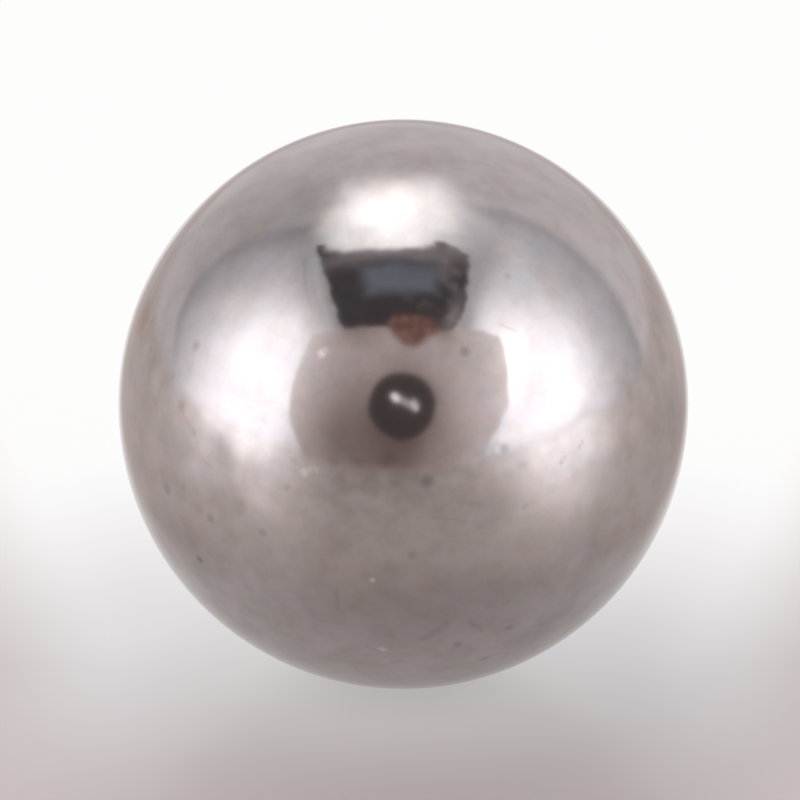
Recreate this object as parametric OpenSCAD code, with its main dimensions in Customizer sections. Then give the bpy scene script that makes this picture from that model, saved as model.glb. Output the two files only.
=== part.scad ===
// Steel ball: one solid, through-hardened ball, forged from bar, then ground and lapped to a mirror finish.
// The origin is the centre of the ball, +Z up. Units are millimetres.

/* [Ball] */
// Diameter of the ball, the nominal size it is sold by: 12.7 is the 1/2 inch ball
ball_d = 12.7; // [3:0.1:50]

/* [Hidden] */

// Facets round the ball when it is drawn as a mesh; the solid itself is a true sphere
mesh_facets = 128;
// Tone of lapped bearing steel
polished_steel = [0.62, 0.59, 0.58];

// The ball, round about its own centre
module ball() {
    color(polished_steel)
        sphere(d = ball_d, $fn = mesh_facets);
}

ball();
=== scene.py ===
import math

import bpy
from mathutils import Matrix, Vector


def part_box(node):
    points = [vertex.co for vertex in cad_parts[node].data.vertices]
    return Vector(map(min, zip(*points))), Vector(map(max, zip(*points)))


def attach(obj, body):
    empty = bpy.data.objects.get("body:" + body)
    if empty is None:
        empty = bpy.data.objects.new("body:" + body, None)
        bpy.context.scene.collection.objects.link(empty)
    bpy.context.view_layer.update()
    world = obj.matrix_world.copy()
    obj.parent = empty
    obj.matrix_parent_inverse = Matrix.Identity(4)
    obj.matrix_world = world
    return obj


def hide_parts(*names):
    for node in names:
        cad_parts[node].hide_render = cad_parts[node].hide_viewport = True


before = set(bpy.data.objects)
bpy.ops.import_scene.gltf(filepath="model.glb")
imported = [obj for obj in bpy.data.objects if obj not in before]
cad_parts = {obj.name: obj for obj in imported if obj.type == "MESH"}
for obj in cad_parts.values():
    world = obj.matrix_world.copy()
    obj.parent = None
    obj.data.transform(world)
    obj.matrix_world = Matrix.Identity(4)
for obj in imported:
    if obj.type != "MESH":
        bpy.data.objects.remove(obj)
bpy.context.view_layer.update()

ballLow, ballHigh = (Vector(corner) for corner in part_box("ball"))
ballCentre = (ballLow + ballHigh) / 2
ballRadius = (ballHigh.x - ballLow.x) / 2
print("stage: frame loaded, ball radius", round(ballRadius * 1000, 3), "mm")


# helpers for node trees

def addNode(tree, kind, **settings):
    made = tree.nodes.new(kind)
    for name, value in settings.items():
        setattr(made, name, value)
    return made


def plug(tree, source, socket):
    # a socket takes another node's output, or a fixed value
    if isinstance(source, bpy.types.NodeSocket):
        tree.links.new(source, socket)
    else:
        socket.default_value = source


def calc(tree, operation, *values):
    made = addNode(tree, "ShaderNodeMath", operation=operation)
    for value, socket in zip(values, made.inputs):
        plug(tree, value, socket)
    return made.outputs[0]


def vectorCalc(tree, operation, *values, result="Vector"):
    made = addNode(tree, "ShaderNodeVectorMath", operation=operation)
    for value, socket in zip(values, made.inputs):
        plug(tree, value, socket)
    return made.outputs[result]


def ramp(tree, value, low, high, lowOut=0.0, highOut=1.0):
    # a smooth step from one value to another as the input goes from low to high, or down again
    made = addNode(tree, "ShaderNodeMapRange", interpolation_type="SMOOTHSTEP")
    for source, socket in zip((value, low, high, lowOut, highOut), made.inputs):
        plug(tree, source, socket)
    return made.outputs[0]


def layer(tree, under, over, amount, blend="MIX"):
    # one colour over another, by the colour sockets of a Mix node
    made = addNode(tree, "ShaderNodeMix", data_type="RGBA", blend_type=blend)
    plug(tree, amount, made.inputs["Factor"])
    plug(tree, under, made.inputs[6])
    plug(tree, over, made.inputs[7])
    return made.outputs[2]


def toneRamp(tree, value, stops):
    # stops are places from 0 to 1, each with its colour
    made = addNode(tree, "ShaderNodeValToRGB")
    points = made.color_ramp.elements
    for place, colour in stops[len(points):]:
        points.new(place)
    for point, (place, colour) in zip(points, stops):
        point.position = place
        point.color = colour
    plug(tree, value, made.inputs[0])
    return made.outputs[0]


def noise(tree, place, scale, detail=2.0, roughness=0.5, output=0):
    made = addNode(tree, "ShaderNodeTexNoise")
    plug(tree, place, made.inputs["Vector"])
    made.inputs["Scale"].default_value = scale
    made.inputs["Detail"].default_value = detail
    made.inputs["Roughness"].default_value = roughness
    return made.outputs[output]


def wander(tree, place, scale, detail):
    # noise from -1 to 1 along x, y and z
    made = noise(tree, place, scale, detail, output="Color")
    return vectorCalc(tree, "MULTIPLY_ADD", made, (2, 2, 2), (-1, -1, -1))


def gather(tree, operation, values):
    # one value out of many, such as the largest
    found = values[0]
    for value in values[1:]:
        found = calc(tree, operation, found, value)
    return found


def part(tree, place, name):
    split = addNode(tree, "ShaderNodeSeparateXYZ")
    plug(tree, place, split.inputs[0])
    return split.outputs[name]


def tone(red, green, blue):
    return (red, green, blue, 1.0)


# camera

shot = {
    "elevation": 22.0,          # degrees that the camera looks down
    "lens": 250.0,              # mm, on a 36 mm sensor
    "ballAcross": 570.0,        # pixels that the ball spans in the 800 pixel frame
    "ballAt": (403.4, 404.0),   # pixel where its centre falls, from the top left
    "farthest": 1000.0,         # ball radii that it can see
}
framePixels = 800.0
sensorWidth = 36.0


def makeCamera():
    up = math.radians(shot["elevation"])
    back = Vector((0, -math.cos(up), math.sin(up)))
    halfAngle = math.atan(shot["ballAcross"] / 2 / framePixels * sensorWidth / shot["lens"])
    distance = ballRadius / math.sin(halfAngle)
    data = bpy.data.cameras.new("shotCamera")
    data.lens = shot["lens"]
    data.sensor_width = sensorWidth
    data.clip_start = ballRadius
    data.clip_end = ballRadius * shot["farthest"]
    data.shift_x = (framePixels / 2 - shot["ballAt"][0]) / framePixels
    data.shift_y = (shot["ballAt"][1] - framePixels / 2) / framePixels
    camera = bpy.data.objects.new("shotCamera", data)
    bpy.context.scene.collection.objects.link(camera)
    camera.location = ballCentre + back * distance
    camera.rotation_euler = (math.radians(90) - up, 0, 0)
    bpy.context.scene.camera = camera
    return back, distance


towardsCamera, cameraDistance = makeCamera()
print("stage: camera placed", round(cameraDistance * 1000, 1), "mm away")


# The tent is a box of pale cloth round the ball, painted on the world. Places in it are x, y, z with
# the ball at 0, the side walls at x = -1 and 1, the roof at z = 1 and the camera towards -y.
# Levels are how bright the cloth is, where 1 is white.

tent = {
    "folds": (4.0, 3.0),                  # scale and detail of the folds in the cloth
    "wrinkle": 0.03,                      # how far they push the edges about
    "unevenness": 0.12,                   # how much they change the cloth's brightness
    "fray": (16.0, 1.0),                  # scale and detail of torn edges and weave
    "patchy": (9.0, 4.0, 0.65),           # scale, detail and roughness of small patches
    "rear": 0.733,
    "rearToRight": 0.182,
    "rearTint": tone(1.0, 0.945, 0.975),
    "left": 0.49,
    "right": 0.655,
    "sideTint": tone(1.0, 0.985, 1.05),
    "sideChange": 0.05,                   # half width of the change from the left wall to the right
    "leftCorner": (-0.68, -1.0, 0.0),     # rays whose product with one of these is above 0 are in front
    "rightCorner": (0.52, -1.0, 0.28),    # of that rear corner
    "leftCurl": (0.30, -0.10, 0.35),      # heights where the left corner curls forwards, and how far
    "cornerSoft": 0.07,
    "cornerFold": 0.10,                   # the cloth is darker just in front of the corner
    "foldReach": 0.22,
}
# Light and shade are given as a place, the reach along x, y and z, and the level. These are on the
# side walls.
wallGlows = (
    ((-1, 0.01, 0.38), (0.5, 0.26, 0.27), 0.14),
    ((-1, -1.78, 1.12), (0.5, 1.60, 0.51), 0.90),
    ((-1, -0.52, 0.31), (0.5, 0.66, 0.58), 1.80),
    ((-1, -0.11, 0.01), (0.5, 0.84, 0.12), 0.31),
    ((-1, -0.50, 0.91), (0.5, 0.37, 0.31), 0.40),
    ((1, -0.02, 0.51), (0.5, 0.15, 0.18), 0.41),
    ((1, -1.20, 0.75), (0.5, 0.92, 0.43), 3.00),
    ((1, 0.28, 1.42), (0.5, 0.43, 0.33), 0.20),
    ((1, -0.35, 0.30), (0.5, 0.30, 0.26), 1.08),
    ((1, -0.72, 0.11), (0.5, 0.72, 0.19), 1.10),
    ((1, -0.95, 1.39), (0.5, 0.83, 0.36), 0.73),
)
# light on the rear wall, high up near its middle and low at its left
rearGlows = (
    ((-0.21, 1, 0.56), (0.41, 0.5, 3.00), 0.11),
    ((-3.00, 1, 0.10), (2.52, 0.5, 0.54), 0.32),
)
# the roof lamp behind its cloth, which it lights wider and in streaks
roofLamp = {
    "corners": ((-0.43, 0.07, 1), (-0.50, 0.26, 1), (-0.27, 0.56, 1), (-0.05, 0.64, 1), (0.18, 0.72, 1),
                (0.25, 0.60, 1), (0.28, 0.38, 1), (0.34, 0.11, 1), (0.24, -0.16, 1), (-0.35, -0.13, 1)),
    "soft": 0.090,
    "level": 0.49,
}
roofGlows = (
    ((0.27, 0.35, 1), (0.25, 0.22, 0.5), 0.27),
    ((-0.09, 0.22, 1), (0.28, 0.36, 0.5), 1.23),
    ((-0.31, 0.66, 1), (0.05, 0.15, 0.5), 0.23),
    ((0.23, 0.08, 1), (0.08, 0.07, 0.5), -0.38),
    ((-0.69, 0.46, 1), (0.23, 0.28, 0.5), -0.06),
)
# folds and seams in the roof's cloth: from, to, half width and level
creases = (
    ((-0.57, 0.00), (-0.64, -0.70), 0.045, 0.10),
    ((-0.66, 0.04), (-0.73, -0.40), 0.035, -0.10),
    ((-0.33, 0.52), (-0.31, 0.09), 0.025, -0.14),
    ((0.60, 0.44), (0.58, 0.35), 0.015, -0.10),
)
creasesFrom = (0.3, 0.5)                  # heights of a ray between which they come in
opening = {
    "corners": ((-0.505, -0.74, 1), (0.41, -0.80, 1), (0.463, -0.54, 1), (0.395, -0.03, 1),
                (0.225, 0.02, 1), (-0.52, 0.11, 1)),
    # the lamp's rim, which cuts its shape out of the opening's far edge and leaves a spike at each end
    "rim": ((-0.505, 0.15, 1), (-0.475, 0.05, 1), (-0.43, 0.02, 1), (-0.34, -0.03, 1), (-0.14, -0.072, 1),
            (0.10, -0.06, 1), (0.18, -0.03, 1), (0.205, 0.05, 1), (0.205, 0.50, 1), (-0.505, 0.50, 1)),
    "rimSoft": 0.032,
    "soft": 0.018,
    "ragged": 0.014,                      # how far its torn edges stray
    "foot": (1.30, 1.36),                 # heights over the flap between which it starts
    "level": 0.080,
    "window": ((-0.26, -0.41, 1), (0.22, -0.41, 1), (0.20, -0.19, 1), (-0.26, -0.19, 1)),
    "windowSoft": 0.06,
    "windowTone": tone(0.208, 0.234, 0.29),
    "patches": (((-0.05, -0.07, 1), (0.50, 0.08, 0.5), 0.26), ((0.40, -0.58, 1), (0.06, 0.15, 0.5), 0.22),
                ((0.22, -0.20, 1), (0.10, 0.14, 0.5), 0.06), ((0.06, -0.13, 1), (0.10, 0.05, 0.5), 0.05)),
    "flecks": (0.44, 0.70, 0.0, 0.13),    # patches between the first two turn into flecks this bright
    "flecksAside": (-0.15, 0.30, 0.12, 1.0),    # faint at its left and full at its right
    "tint": tone(1.0, 0.90, 0.97),
}
strap = {
    "corners": ((-0.15, -0.75, 1), (-0.07, -0.65, 1), (0.18, -0.64, 1), (0.31, -0.76, 1),
                (0.14, -0.99, 1), (0.03, -0.99, 1)),
    "tone": tone(0.25, 0.125, 0.11),
    "worn": tone(0.36, 0.215, 0.175),     # where light catches its weave
    "weave": (-0.08, 0.32),
    "soft": 0.035,
}
flap = {
    # half widths at heights from the floor line up
    "leftEdge": ((-0.2, 0.76), (0.0, 0.86), (0.1, 0.95), (0.2, 1.04), (0.4, 1.12), (0.6, 1.15),
                 (1.1, 1.2), (1.5, 1.2)),
    "rightEdge": ((-0.2, 0.50), (0.05, 0.66), (0.2, 0.82), (0.35, 0.95), (0.6, 1.06), (0.9, 1.19),
                  (1.2, 1.27), (1.5, 1.3)),
    "top": 1.40,
    "widest": 1.5,                        # no edge may curve out further than this
    "soft": 0.03,
    "level": 0.836,
    "shades": (((-0.49, -1, 0.15), (0.32, 0.5, 0.49), -0.40), ((0.01, -1, 0.23), (0.34, 0.5, 0.64), -0.59),
               ((1.34, -1, -0.02), (0.45, 0.5, 1.56), 1.05), ((-1.60, -1, 0.72), (0.56, 0.5, 0.80), 0.79),
               ((-0.52, -1, 1.43), (0.33, 0.5, 0.46), -0.36), ((0.43, -1, 1.60), (0.15, 0.5, 0.45), -0.65)),
    # its colour at some levels, up to the brightest
    "tones": ((0.0, tone(0.0, 0.0, 0.0)), (0.28, tone(0.28, 0.213, 0.203)),
              (0.55, tone(0.55, 0.457, 0.453)), (0.70, tone(0.70, 0.608, 0.613)),
              (1.0, tone(1.0, 0.915, 0.93)), (1.5, tone(1.5, 1.36, 1.375))),
}
lens = {
    "at": (-0.010, -0.013),
    "across": 0.228,
    "soft": 0.022,
    "tone": tone(0.10, 0.08, 0.083),
    "glint": tone(1.0, 0.965, 1.02),
}
# streaks of the glint on the lens: from, to, half width and level, with soft edges from the first share
# of that width to the second
glintEdge = (1.5, 0.3)
glints = (
    ((-0.068, 0.050), (0.078, -0.022), 0.024, 0.58),
    ((-0.062, 0.055), (-0.048, 0.034), 0.024, 1.15),
    ((0.066, 0.008), (0.078, -0.032), 0.017, 0.66),
    ((0.070, 0.032), (0.096, 0.004), 0.013, 0.24),
)
ground = {
    "height": -0.01,
    "frontHeight": -0.07,
    "edgeTurn": (-0.60, -0.85),           # its edge goes from one height to the other between these
    "soft": 0.045,
    "footShades": (((0.02, -1, -0.10), (0.50, 0.5, 0.16), -0.13),
                   ((0.34, -1, -0.18), (0.12, 0.5, 0.10), 0.12)),
    "rear": 0.714,
    "front": 0.546,
    "frontTurn": (-0.45, -0.85),
    "mottle": 0.045,                      # how far its level wanders in small patches
    "mottleFrom": (0.34, 0.66),
    "beams": (
        ((-1, -0.50, -0.06), (0.5, 0.39, 0.17), 1.42), ((-1, -0.65, -0.05), (0.5, 0.80, 0.62), 0.48),
        ((-1, -0.55, -0.15), (0.5, 0.29, 0.14), -0.60), ((-1, -0.26, -0.13), (0.5, 0.12, 0.14), -0.60),
        ((1, -1.05, 0.25), (0.5, 0.82, 0.54), 1.10), ((1, -0.64, 0.25), (0.5, 0.24, 0.79), 0.66),
        ((1, -0.27, -0.10), (0.5, 0.25, 0.24), 0.70), ((-1, -0.16, -0.02), (0.5, 0.18, 0.05), 0.45),
        ((1, -0.24, 0.00), (0.5, 0.10, 0.06), 0.45),
    ),
    # brown smears along the flap's foot
    "smears": (((-0.53, -1, -0.05), (0.06, 0.5, 0.03), 0.35), ((-0.32, -1, -0.03), (0.05, 0.5, 0.03), 0.30),
               ((-0.10, -1, 0.00), (0.08, 0.5, 0.05), 0.55), ((0.60, -1, -0.08), (0.04, 0.5, 0.03), 0.25)),
    "smearTone": tone(0.70, 0.52, 0.52),
    "smearTurn": (0.0, -0.2),
}
# tint of the ground and the floor, ruddy in shade and whiter in light, at shares of the brightest level
groundBrightest = 2.0
groundTints = ((0.10, tone(1.0, 0.855, 0.81)), (0.22, tone(1.0, 0.875, 0.845)),
               (0.35, tone(1.0, 0.90, 0.885)), (0.50, tone(1.0, 0.92, 0.925)),
               (0.76, tone(1.0, 0.96, 0.99)))
nearNothing = 0.001                       # the least that a ray is divided by


def onWalls(tree, ray, axis):
    # where a ray meets the two walls that stand across this axis
    ahead = calc(tree, "MAXIMUM", calc(tree, "ABSOLUTE", part(tree, ray, axis)), nearNothing)
    return vectorCalc(tree, "DIVIDE", ray, ahead)


def addGlow(tree, under, place, at, reach, level):
    # light that is brightest at one place and fades evenly round it, added to what is there
    offset = vectorCalc(tree, "MULTIPLY_ADD", place, tuple(1 / r for r in reach),
                        tuple(-a / r for a, r in zip(at, reach)))
    fall = vectorCalc(tree, "DOT_PRODUCT", offset, offset, result="Value")
    return calc(tree, "MULTIPLY_ADD", calc(tree, "POWER", math.exp(-1), fall), level, under)


def fromLine(tree, place, start, end):
    # how far each place is from a straight line between two points
    along = Vector(end) - Vector(start)
    share = vectorCalc(tree, "DOT_PRODUCT", vectorCalc(tree, "SUBTRACT", place, tuple(start)),
                       tuple(along / along.length_squared), result="Value")
    share = calc(tree, "MINIMUM", calc(tree, "MAXIMUM", share, 0.0), 1.0)
    nearest = vectorCalc(tree, "MULTIPLY_ADD", share, tuple(along), tuple(start))
    return vectorCalc(tree, "DISTANCE", place, nearest, result="Value")


def panel(tree, ray, corners, soft):
    # 1 inside the flat panel with these corners, 0 outside, as seen from the ball
    middle = sum((Vector(corner) for corner in corners), Vector()) / len(corners)
    depths = []
    for start, end in zip(corners, corners[1:] + corners[:1]):
        edge = Vector(start).cross(Vector(end)).normalized()
        if edge.dot(middle) < 0:
            edge = -edge
        depths.append(vectorCalc(tree, "DOT_PRODUCT", ray, tuple(edge), result="Value"))
    return ramp(tree, gather(tree, "MINIMUM", depths), -soft, soft)


def edgeCurve(tree, height, points):
    # how wide the flap is at each height, as a smooth curve through these points
    made = addNode(tree, "ShaderNodeFloatCurve")
    mapping = made.mapping
    mapping.clip_min_x, mapping.clip_max_x = points[0][0], points[-1][0]
    mapping.clip_min_y, mapping.clip_max_y = 0.0, flap["widest"]
    curve = mapping.curves[0].points
    curve[0].location = points[0]
    curve[1].location = points[-1]
    for point in points[1:-1]:
        curve.new(*point)
    mapping.update()
    plug(tree, height, made.inputs["Value"])
    return made.outputs[0]


def tinted(tree, level, tint):
    return vectorCalc(tree, "MULTIPLY", level, tint[:3])


def groundTinted(tree, level):
    share = calc(tree, "MULTIPLY", level, 1 / groundBrightest)
    return vectorCalc(tree, "MULTIPLY", level, toneRamp(tree, share, groundTints))


def makeTent():
    world = bpy.data.worlds.new("lightTent")
    bpy.context.scene.world = world
    world.use_nodes = True
    tree = world.node_tree
    tree.nodes.clear()
    straight = addNode(tree, "ShaderNodeTexCoord").outputs["Generated"]
    folds = wander(tree, straight, *tent["folds"])
    fray = wander(tree, straight, *tent["fray"])
    patchy = noise(tree, straight, *tent["patchy"])
    ray = vectorCalc(tree, "MULTIPLY_ADD", folds, (tent["wrinkle"],) * 3, straight)
    uneven = calc(tree, "MULTIPLY_ADD", part(tree, folds, "Z"), tent["unevenness"], 1.0)
    x, y, z = (part(tree, ray, name) for name in "XYZ")

    # side walls and rear wall, which meet at the rear corners
    sides = onWalls(tree, ray, "X")
    level = ramp(tree, x, -tent["sideChange"], tent["sideChange"], tent["left"], tent["right"])
    for glow in wallGlows:
        level = addGlow(tree, level, sides, *glow)
    front = onWalls(tree, ray, "Y")
    rear = calc(tree, "MULTIPLY_ADD", x, tent["rearToRight"], tent["rear"])
    for glow in rearGlows:
        rear = addGlow(tree, rear, front, *glow)
    fromLeft, fromRight = (vectorCalc(tree, "DOT_PRODUCT", ray, tent[name], result="Value")
                           for name in ("leftCorner", "rightCorner"))
    curlFrom, curlTo, curl = tent["leftCurl"]
    fromLeft = calc(tree, "SUBTRACT", fromLeft, ramp(tree, z, curlFrom, curlTo, 0.0, curl))
    depth = calc(tree, "MAXIMUM", fromLeft, fromRight)
    isSide = ramp(tree, depth, -tent["cornerSoft"], tent["cornerSoft"])
    foldShade = ramp(tree, depth, tent["foldReach"], 0.0, 0.0, tent["cornerFold"])
    level = calc(tree, "SUBTRACT", level, foldShade)
    colour = layer(tree, tinted(tree, rear, tent["rearTint"]),
                   tinted(tree, level, tent["sideTint"]), isSide)

    # roof: its opening, then the lamp's light over the opening's edge
    roof = onWalls(tree, ray, "Z")
    beyond = opening["level"]
    for patch in opening["patches"]:
        beyond = addGlow(tree, beyond, roof, *patch)
    aside = ramp(tree, part(tree, roof, "X"), *opening["flecksAside"])
    beyond = calc(tree, "MULTIPLY_ADD", ramp(tree, patchy, *opening["flecks"]), aside, beyond)
    beyond = layer(tree, tinted(tree, beyond, opening["tint"]), opening["windowTone"],
                   panel(tree, ray, opening["window"], opening["windowSoft"]))
    frayed = vectorCalc(tree, "MULTIPLY_ADD", fray, (opening["ragged"],) * 3, ray)
    isOpen = panel(tree, frayed, opening["corners"], opening["soft"])
    lampRim = panel(tree, frayed, opening["rim"], opening["rimSoft"])
    isOpen = calc(tree, "MULTIPLY", isOpen, calc(tree, "SUBTRACT", 1.0, lampRim))
    lit = calc(tree, "MULTIPLY", panel(tree, ray, roofLamp["corners"], roofLamp["soft"]), roofLamp["level"])
    for glow in roofGlows:
        lit = addGlow(tree, lit, roof, *glow)
    flatRoof = vectorCalc(tree, "MULTIPLY", roof, (1.0, 1.0, 0.0))
    for start, end, width, change in creases:
        away = fromLine(tree, flatRoof, (*start, 0.0), (*end, 0.0))
        fold = ramp(tree, away, width, 0.0, 0.0, change)
        lit = calc(tree, "MULTIPLY_ADD", fold, ramp(tree, z, *creasesFrom), lit)
    colour = vectorCalc(tree, "ADD", colour, lit)
    colour = layer(tree, colour, beyond, isOpen)

    # front flap with its shaded foot, and the strap that hangs over its top edge
    across, facing, height = (part(tree, front, name) for name in "XYZ")
    inside = gather(tree, "MINIMUM", (
        calc(tree, "ADD", edgeCurve(tree, height, flap["leftEdge"]), across),
        calc(tree, "SUBTRACT", edgeCurve(tree, height, flap["rightEdge"]), across),
        calc(tree, "SUBTRACT", flap["top"], height),
        calc(tree, "MULTIPLY", facing, -1.0)))
    cloth = flap["level"]
    for shade in flap["shades"]:
        cloth = addGlow(tree, cloth, front, *shade)
    brightest = flap["tones"][-1][0]
    tones = [(at / brightest, hue) for at, hue in flap["tones"]]
    cloth = toneRamp(tree, calc(tree, "MULTIPLY", cloth, 1 / brightest), tones)
    colour = layer(tree, colour, cloth, ramp(tree, inside, -flap["soft"], flap["soft"]))
    aboveFlap = ramp(tree, height, *opening["foot"])
    colour = layer(tree, colour, beyond, calc(tree, "MULTIPLY", isOpen, aboveFlap))
    weave = ramp(tree, part(tree, fray, "Z"), *strap["weave"])
    colour = layer(tree, colour, layer(tree, strap["tone"], strap["worn"], weave),
                   panel(tree, ray, strap["corners"], strap["soft"]))
    colour = vectorCalc(tree, "MULTIPLY", colour, uneven)

    # lens, square to the camera, with a streaky glint on its glass
    upward = towardsCamera.cross(Vector((1, 0, 0)))

    def onLens(right, up):
        return tuple(towardsCamera + Vector((right, 0, 0)) + upward * up)

    away = vectorCalc(tree, "DISTANCE", straight, onLens(*lens["at"]), result="Value")
    isLens = ramp(tree, away, lens["across"] + lens["soft"], lens["across"] - lens["soft"])
    colour = layer(tree, colour, lens["tone"], isLens)
    shine = 0.0
    for start, end, width, level in glints:
        away = fromLine(tree, straight, onLens(*start), onLens(*end))
        outer, inner = (width * share for share in glintEdge)
        shine = calc(tree, "ADD", ramp(tree, away, outer, inner, 0.0, level), shine)
    colour = vectorCalc(tree, "ADD", colour, tinted(tree, shine, lens["glint"]))

    # ground beyond the floor's edge, with the light that the side walls throw on it
    low = ramp(tree, y, *ground["frontTurn"], ground["rear"], ground["front"])
    mottle = ramp(tree, patchy, *ground["mottleFrom"], -ground["mottle"], ground["mottle"])
    low = calc(tree, "ADD", low, mottle)
    for beam in ground["beams"]:
        low = addGlow(tree, low, sides, *beam)
    for shade in ground["footShades"]:
        low = addGlow(tree, low, front, *shade)
    edge = ramp(tree, y, *ground["edgeTurn"], ground["height"], ground["frontHeight"])
    isLow = ramp(tree, calc(tree, "SUBTRACT", z, edge), ground["soft"], -ground["soft"])
    colour = layer(tree, colour, groundTinted(tree, low), isLow)
    smeared = 0.0
    for smear in ground["smears"]:
        smeared = addGlow(tree, smeared, front, *smear)
    smeared = calc(tree, "MULTIPLY", smeared, ramp(tree, y, *ground["smearTurn"]))
    colour = layer(tree, colour, ground["smearTone"], smeared, "MULTIPLY")

    light = addNode(tree, "ShaderNodeBackground")
    plug(tree, colour, light.inputs["Color"])
    world.cycles.sampling_method = "NONE"   # soft enough to need no map of where its light comes from
    output = addNode(tree, "ShaderNodeOutputWorld")
    tree.links.new(light.outputs[0], output.inputs["Surface"])
    print("stage: light tent painted,", len(tree.nodes), "nodes")


makeTent()


# floor, with sizes in ball radii

floor = {
    "radius": 16.0,
    "corners": 96,                        # round its rim
    "fadeAt": (0.0, 4.2),                 # middle of what shows, which fades out between these distances
    "fadeFrom": 5.2,
    "fadeTo": 8.0,
    "level": 0.754,
    # painted light that the side walls throw on the floor, and painted shade in front of the ball and
    # behind it to the right
    "beams": (((-2.64, -2.16, 0), (0.48, 0.40, 1), 0.44), ((3.18, -1.77, 0), (1.36, 0.91, 1), 0.69),
              ((0.69, -1.36, 0), (3.05, 1.79, 1), -0.23), ((-4.10, -0.70, 0), (1.02, 0.46, 1), 0.36),
              ((3.40, 2.08, 0), (4.00, 1.33, 1), -0.13)),
    # soft shade at both sides of the ball
    "shades": (((0.89, -0.14, 0), (0.56, 0.98, 1), -0.20), ((-1.02, -0.10, 0), (0.45, 1.20, 1), -0.08)),
    # where the sheet stops in front of the ball, the greyer floor is a painted shade
    "sheet": tone(1.0, 0.995, 0.99),      # white sheet that runs back from under the ball
    "sheetHalfWidth": (1.65, 0.95),       # its soft sides, from nothing to full, and its soft front
    "sheetWidening": 0.25,
    "sheetFront": (-1.35, 0.25),
    "albedo": 0.90,
    "roughness": 0.24,
    "gloss": 0.9,
    "waves": 0.6,                         # scale of its slight waves, and how high they are
    "waveHeight": 0.06,
    "ownLight": (0.38, 0.92),             # share of its look that no shadow reaches, near the ball and away
    "ownReach": (1.0, 2.4),
}


def makeFloor():
    bpy.ops.object.select_all(action="DESELECT")
    bpy.ops.mesh.primitive_circle_add(vertices=floor["corners"], radius=floor["radius"] * ballRadius,
                                      fill_type="NGON", location=(ballCentre.x, ballCentre.y, ballLow.z))
    made = bpy.context.object
    made.name = "floor"
    material = bpy.data.materials.new("paleFloor")
    material.use_nodes = True
    tree = material.node_tree
    shader = tree.nodes["Principled BSDF"]
    coordinate = addNode(tree, "ShaderNodeTexCoord").outputs["Object"]
    inRadii = vectorCalc(tree, "DIVIDE", coordinate, (ballRadius,) * 3)
    # the floor's colour holds painted light and shade, the white sheet, and painted shade beside the ball
    level = floor["level"]
    for beam in floor["beams"]:
        level = addGlow(tree, level, inRadii, *beam)
    aside = calc(tree, "ABSOLUTE", part(tree, inRadii, "X"))
    back = part(tree, inRadii, "Y")
    widened = calc(tree, "MULTIPLY_ADD", calc(tree, "MAXIMUM", back, 0.0), -floor["sheetWidening"], aside)
    isSheet = calc(tree, "MULTIPLY", ramp(tree, widened, *floor["sheetHalfWidth"]),
                   ramp(tree, back, *floor["sheetFront"]))
    colour = layer(tree, groundTinted(tree, level), floor["sheet"], isSheet)
    shaded = 1.0
    for shade in floor["shades"]:
        shaded = addGlow(tree, shaded, inRadii, *shade)
    colour = vectorCalc(tree, "MULTIPLY", colour, shaded)
    plug(tree, vectorCalc(tree, "MULTIPLY", colour, (floor["albedo"],) * 3), shader.inputs["Base Color"])
    shader.inputs["Roughness"].default_value = floor["roughness"]
    shader.inputs["Specular IOR Level"].default_value = floor["gloss"]
    bump = addNode(tree, "ShaderNodeBump")
    bump.inputs["Strength"].default_value = 1.0
    bump.inputs["Distance"].default_value = ballRadius * floor["waveHeight"]
    plug(tree, noise(tree, inRadii, floor["waves"]), bump.inputs["Height"])
    plug(tree, bump.outputs[0], shader.inputs["Normal"])

    # its own light, which only a direct look or a mirror sees, and its edge, which fades out
    own = addNode(tree, "ShaderNodeEmission")
    plug(tree, colour, own.inputs["Color"])
    path = addNode(tree, "ShaderNodeLightPath")
    seen = calc(tree, "MAXIMUM", path.outputs["Is Camera Ray"], path.outputs["Is Glossy Ray"])
    seen = calc(tree, "MAXIMUM", seen, path.outputs["Is Transmission Ray"])
    away = vectorCalc(tree, "LENGTH", inRadii, result="Value")
    share = ramp(tree, away, *floor["ownReach"], *floor["ownLight"])
    mix = addNode(tree, "ShaderNodeMixShader")
    plug(tree, calc(tree, "MULTIPLY", seen, share), mix.inputs[0])
    tree.links.new(shader.outputs[0], mix.inputs[1])
    tree.links.new(own.outputs[0], mix.inputs[2])
    fadePlace = vectorCalc(tree, "SUBTRACT", inRadii, (*floor["fadeAt"], 0.0))
    fadeAway = vectorCalc(tree, "LENGTH", fadePlace, result="Value")
    fade = addNode(tree, "ShaderNodeMixShader")
    plug(tree, ramp(tree, fadeAway, floor["fadeFrom"], floor["fadeTo"]), fade.inputs[0])
    tree.links.new(mix.outputs[0], fade.inputs[1])
    tree.links.new(addNode(tree, "ShaderNodeBsdfTransparent").outputs[0], fade.inputs[2])
    tree.links.new(fade.outputs[0], tree.nodes["Material Output"].inputs["Surface"])
    made.data.materials.append(material)


makeFloor()
print("stage: floor laid")


# ball

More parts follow.
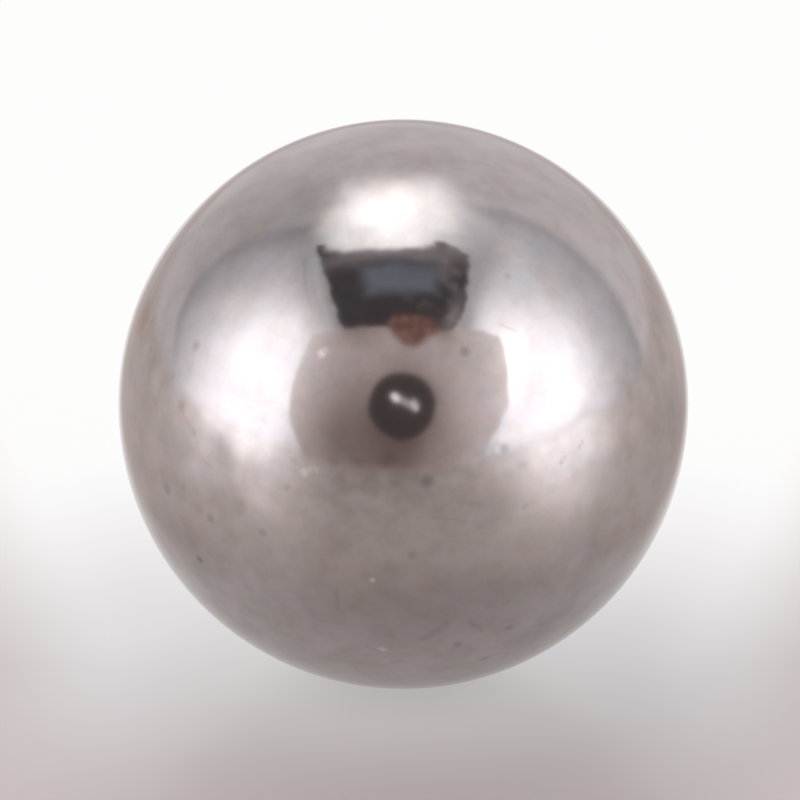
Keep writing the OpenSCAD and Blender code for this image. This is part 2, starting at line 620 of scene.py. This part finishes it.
# Noises are given as scale, detail and roughness, and a name that ends in From as the range of a noise
# in which its effect comes in. Waves and marks are measured in ball radii.
ball = {
    "rounds": 6,                           # times that the cube is subdivided
    "rim": tone(0.885, 0.87, 0.865),       # share of its shine that is left where it turns out of sight
    "clouds": (2.4, 5.0, 0.62),            # broad clouds in the film
    "film": ((0.25, tone(0.453, 0.427, 0.413)), (0.45, tone(0.499, 0.471, 0.460)),
             (0.58, tone(0.524, 0.492, 0.481)), (0.78, tone(0.558, 0.533, 0.526))),
    "blotches": (8.0, 4.0, 0.60),
    "blotchesFrom": (0.36, 0.74),
    "blotchTone": tone(0.88, 0.865, 0.845),    # what darker blotches leave of the steel's tone
    "hues": (11.0, 3.0, 0.6),
    "huesFrom": (0.36, 0.64),
    "ruddy": tone(1.0, 0.98, 0.97),        # the film's colour wanders between these two
    "greenish": tone(0.975, 0.99, 0.995),
    "grain": (40.0, 1.0),                  # breaks up the edges of marks, this far for each kind
    "markGrain": 0.006,
    "smudgeGrain": 0.015,
    "markEdge": 0.9,                       # how soft the edges of marks are, as shares of their size
    "smudgeEdge": 0.95,
    "stainEdge": 0.6,
    "smudge": tone(0.50, 0.48, 0.46),
    "pit": tone(0.13, 0.11, 0.10),
    # pale tone of dust and of painted glints
    "dustAndGlint": tone(0.92, 0.90, 0.89),
    "stain": tone(0.40, 0.29, 0.22),
    "roughness": 0.070,
    "blotchRoughness": 0.015,              # added where the film has blotches
    "smearRoughness": 0.02,                # added where fingers and cloths have smeared it
    "smears": (1.7, 3.0),
    "smearsFrom": (0.42, 0.72),
    "smearStretch": (1.0, 1.0, 2.2),
    "markRoughness": 0.30,                 # added by pits, dust and painted glints, and in part by stains
    "stainShare": 0.4,
    "waves": (3.5, 2.0),                   # waviness left by lapping, and how high it is
    "waviness": 0.0012,
    "pitDepth": 0.0006,
    "deepFrom": 0.015,                     # only pits at least this wide are sunk into the surface
    "farScale": 5.2,                       # cells across a ball radius that may hold a pit on the far side
    "farSize": (0.072, 0.008),             # its half width, and that of its darkest part
    "farDepth": 0.30,
    "farFrom": (0.10, -0.05),              # how far before the ball's middle such pits come in
}
# places on the side that faces the camera are shares of the outline's radius, right and up of its middle
# dark pits and specks: right, up, size, depth of tone
pits = (
    (-0.729, 0.205, 0.016, 0.34), (0.214, 0.184, 0.015, 0.44), (-0.779, -0.009, 0.016, 0.28),
    (0.081, -0.272, 0.018, 0.41), (-0.828, -0.300, 0.018, 0.32), (-0.677, -0.402, 0.015, 0.27),
    (-0.494, -0.451, 0.014, 0.27), (-0.715, -0.546, 0.013, 0.51), (0.032, -0.532, 0.014, 0.19),
    (0.372, -0.784, 0.014, 0.31), (0.190, -0.844, 0.015, 0.29), (0.281, -0.893, 0.015, 0.30),
    (0.355, -0.156, 0.014, 0.28), (0.555, -0.205, 0.008, 0.26), (0.565, -0.188, 0.008, 0.17),
    (0.618, -0.153, 0.007, 0.17), (0.628, -0.135, 0.007, 0.24), (-0.810, 0.100, 0.013, 0.12),
    (-0.736, -0.100, 0.013, 0.16), (-0.772, -0.293, 0.012, 0.18), (-0.382, -0.198, 0.012, 0.16),
    (-0.410, -0.293, 0.012, 0.18), (0.425, -0.360, 0.010, 0.17), (0.488, -0.770, 0.010, 0.12),
    (0.365, 0.447, 0.012, 0.19),
)
# bright dust, and painted glints where small dents catch the light: right, up, size, strength
dustsAndGlints = (
    (-0.287, 0.177, 0.013, 0.48), (-0.273, 0.188, 0.009, 0.28), (-0.347, -0.240, 0.012, 0.32),
    (-0.326, -0.230, 0.010, 0.20), (-0.305, -0.230, 0.010, 0.20), (-0.108, -0.619, 0.010, 0.45),
    (-0.073, -0.861, 0.013, 0.33), (0.330, -0.163, 0.012, 0.18), (0.348, -0.121, 0.012, 0.12),
    (0.299, -0.170, 0.010, 0.10),
)
# faint dark blotches where the film lies thicker: right, up, size, depth of tone
smudges = (
    (-0.305, -0.296, 0.021, 0.15), (0.313, -0.402, 0.021, 0.13), (0.481, -0.384, 0.018, 0.10),
    (-0.347, -0.430, 0.018, 0.14), (0.109, -0.507, 0.025, 0.14), (0.418, -0.500, 0.028, 0.10),
    (-0.136, -0.595, 0.014, 0.13), (-0.042, -0.584, 0.021, 0.13), (0.407, -0.637, 0.018, 0.17),
    (0.474, -0.626, 0.021, 0.13), (-0.035, -0.812, 0.021, 0.15), (-0.214, -0.865, 0.021, 0.12),
    (-0.024, -0.904, 0.021, 0.12), (-0.642, -0.311, 0.021, 0.14), (-0.579, -0.360, 0.025, 0.19),
    (-0.719, -0.363, 0.018, 0.17), (-0.814, -0.426, 0.018, 0.14), (-0.635, -0.598, 0.025, 0.12),
    (-0.547, -0.644, 0.021, 0.13), (-0.561, -0.732, 0.018, 0.15), (-0.393, -0.539, 0.018, 0.10),
    (-0.484, -0.058, 0.014, 0.15), (0.393, 0.356, 0.014, 0.14), (0.579, -0.012, 0.018, 0.09),
    (0.421, -0.216, 0.014, 0.18), (0.751, -0.381, 0.018, 0.14), (0.611, -0.346, 0.018, 0.10),
    (0.306, -0.630, 0.014, 0.13),
)
# hairlines and wiping marks: from, to, half width, depth of tone, with soft sides from the first share of
# that width to the second, and soft ends from this many widths past where they stop to this many before
hairlineSides = (1.9, 0.1)
hairlineEnds = (1.0, -2.0)
hairlines = (
    ((0.095, -0.395), (0.228, -0.412), 0.0046, 0.12), ((0.204, -0.346), (0.281, -0.353), 0.0091, 0.16),
    ((0.064, -0.833), (0.162, -0.760), 0.0119, 0.18), ((0.221, -0.760), (0.285, -0.798), 0.0091, 0.22),
    ((-0.235, -0.647), (-0.231, -0.718), 0.0091, 0.20), ((-0.210, -0.367), (-0.172, -0.384), 0.0091, 0.12),
    ((-0.136, -0.847), (-0.073, -0.875), 0.0077, 0.16), ((-0.779, -0.023), (-0.736, -0.096), 0.0046, 0.16),
    ((-0.736, -0.096), (-0.708, -0.191), 0.0042, 0.10), ((-0.708, -0.191), (-0.670, -0.226), 0.0046, 0.16),
    ((0.334, 0.282), (0.400, 0.251), 0.0049, 0.22),
)
# brown stain near the left edge, in overlapping spots: right, up, size, strength
stains = ((-0.915, 0.300, 0.060, 0.60), (-0.890, 0.262, 0.040, 0.30), (-0.928, 0.345, 0.035, 0.25))


def makeBall():
    bpy.ops.object.select_all(action="DESELECT")
    bpy.ops.mesh.primitive_cube_add(size=ballRadius * 2, location=ballCentre)
    made = bpy.context.object
    made.name = "steelBall"
    made.data.name = "steelBall"
    finer = made.modifiers.new("finer", "SUBSURF")
    finer.levels = finer.render_levels = ball["rounds"]
    bpy.ops.object.modifier_apply(modifier=finer.name)
    rounder = made.modifiers.new("rounder", "CAST")
    rounder.cast_type = "SPHERE"
    rounder.factor = 1.0
    rounder.use_radius_as_size = False
    rounder.radius = 0.0
    rounder.size = ballRadius
    bpy.ops.object.modifier_apply(modifier=rounder.name)
    bpy.ops.object.shade_smooth()
    bpy.ops.object.transform_apply(location=True, rotation=True, scale=True)
    return made


def onFace(across, up):
    # a place on the side that the camera sees, as a point on a ball of radius 1
    right = Vector((1, 0, 0))
    upward = towardsCamera.cross(right)
    eye = towardsCamera * cameraDistance / ballRadius
    spread = eye.length / math.sqrt(eye.length_squared - 1)
    sight = (right * across + upward * up) * spread - eye
    sight.normalize()
    along = -eye.dot(sight)
    return eye + sight * (along - math.sqrt(max(0.0, along * along - eye.length_squared + 1)))


def spots(tree, place, marks, edge):
    # 0 to 1 over all the marks of one kind, with edges as soft as this share of their size
    made = []
    for across, up, size, strength in marks:
        away = vectorCalc(tree, "DISTANCE", place, tuple(onFace(across, up)), result="Value")
        made.append(ramp(tree, away, size * (1 + edge), size * (1 - edge), 0.0, strength))
    return gather(tree, "MAXIMUM", made)


def streaks(tree, place, marks):
    # 0 to 1 over thin lines, each along the shortest way over the ball from end to end
    made = []
    for start, end, width, strength in marks:
        first, last = onFace(*start), onFace(*end)
        middle = (first + last).normalized()
        reach = (last - first).length / 2
        across = tuple(first.cross(last).normalized())
        aside = calc(tree, "ABSOLUTE", vectorCalc(tree, "DOT_PRODUCT", place, across, result="Value"))
        along = vectorCalc(tree, "DISTANCE", place, tuple(middle), result="Value")
        outer, inner = (width * share for share in hairlineSides)
        past, before = (reach + width * share for share in hairlineEnds)
        made.append(calc(tree, "MULTIPLY", ramp(tree, aside, outer, inner, 0.0, strength),
                         ramp(tree, along, past, before)))
    return gather(tree, "MAXIMUM", made)


def farSpecks(tree, place):
    # a few pits on the half that the camera doesn't see
    cells = addNode(tree, "ShaderNodeTexVoronoi", feature="F1")
    plug(tree, place, cells.inputs["Vector"])
    cells.inputs["Scale"].default_value = ball["farScale"]
    speck = ramp(tree, cells.outputs["Distance"], *ball["farSize"], 0.0, ball["farDepth"])
    facing = vectorCalc(tree, "DOT_PRODUCT", place, tuple(towardsCamera), result="Value")
    return calc(tree, "MULTIPLY", speck, ramp(tree, facing, *ball["farFrom"]))


def polishedSteel():
    material = bpy.data.materials.new("polishedSteel")
    material.use_nodes = True
    tree = material.node_tree
    shader = tree.nodes["Principled BSDF"]
    coordinate = addNode(tree, "ShaderNodeTexCoord").outputs["Object"]
    place = vectorCalc(tree, "DIVIDE", vectorCalc(tree, "SUBTRACT", coordinate, tuple(ballCentre)),
                       (ballRadius,) * 3)

    # thin uneven film of oil and polish, in broad clouds and finer blotches
    clouds = noise(tree, place, *ball["clouds"])
    blotches = noise(tree, place, *ball["blotches"])
    steel = toneRamp(tree, clouds, ball["film"])
    steel = layer(tree, steel, ball["blotchTone"], ramp(tree, blotches, *ball["blotchesFrom"]), "MULTIPLY")
    hue = ramp(tree, noise(tree, place, *ball["hues"]), *ball["huesFrom"])
    steel = layer(tree, steel, layer(tree, ball["ruddy"], ball["greenish"], hue), 1.0, "MULTIPLY")

    # marks, whose edges are broken up by a fine noise
    grain = wander(tree, place, *ball["grain"])
    markPlace = vectorCalc(tree, "MULTIPLY_ADD", grain, (ball["markGrain"],) * 3, place)
    smudgePlace = vectorCalc(tree, "MULTIPLY_ADD", grain, (ball["smudgeGrain"],) * 3, place)
    pit = calc(tree, "MAXIMUM", spots(tree, markPlace, pits, ball["markEdge"]), farSpecks(tree, place))
    dustAndGlint = spots(tree, markPlace, dustsAndGlints, ball["markEdge"])
    stain = spots(tree, smudgePlace, stains, ball["stainEdge"])
    smudge = calc(tree, "MAXIMUM", spots(tree, smudgePlace, smudges, ball["smudgeEdge"]),
                  streaks(tree, markPlace, hairlines))
    steel = layer(tree, steel, ball["smudge"], smudge, "MULTIPLY")
    steel = layer(tree, steel, ball["stain"], stain)
    steel = layer(tree, steel, ball["pit"], pit)
    # pale dust, and painted glints of small dents
    steel = layer(tree, steel, ball["dustAndGlint"], dustAndGlint)
    plug(tree, steel, shader.inputs["Base Color"])
    shader.inputs["Metallic"].default_value = 1.0
    shader.inputs["Specular Tint"].default_value = ball["rim"]

    # the film scatters light a little, and marks more
    stretched = vectorCalc(tree, "MULTIPLY", place, ball["smearStretch"])
    smears = ramp(tree, noise(tree, stretched, *ball["smears"]), *ball["smearsFrom"])
    rough = calc(tree, "MULTIPLY_ADD", smears, ball["smearRoughness"], ball["roughness"])
    rough = calc(tree, "MULTIPLY_ADD", blotches, ball["blotchRoughness"], rough)
    marked = gather(tree, "MAXIMUM", (pit, dustAndGlint, calc(tree, "MULTIPLY", stain, ball["stainShare"])))
    rough = calc(tree, "MULTIPLY_ADD", marked, ball["markRoughness"], rough)
    plug(tree, rough, shader.inputs["Roughness"])

    # very slight waviness from lapping, and the pits themselves
    waves = noise(tree, place, *ball["waves"])
    height = calc(tree, "MULTIPLY", waves, ball["waviness"] / ball["pitDepth"])
    deep = [mark for mark in pits if mark[2] >= ball["deepFrom"]]
    height = calc(tree, "SUBTRACT", height, spots(tree, place, deep, ball["markEdge"]))
    bump = addNode(tree, "ShaderNodeBump")
    bump.inputs["Strength"].default_value = 1.0
    bump.inputs["Distance"].default_value = ballRadius * ball["pitDepth"]
    plug(tree, height, bump.inputs["Height"])
    plug(tree, bump.outputs[0], shader.inputs["Normal"])
    print("stage: steel mixed,", len(tree.nodes), "nodes")
    return material


steelBall = makeBall()
steelBall.data.materials.clear()
steelBall.data.materials.append(polishedSteel())
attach(steelBall, "root")
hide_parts("ball")
print("stage: ball made,", len(steelBall.data.polygons), "faces")

bpy.context.scene.view_settings.view_transform = "Standard"
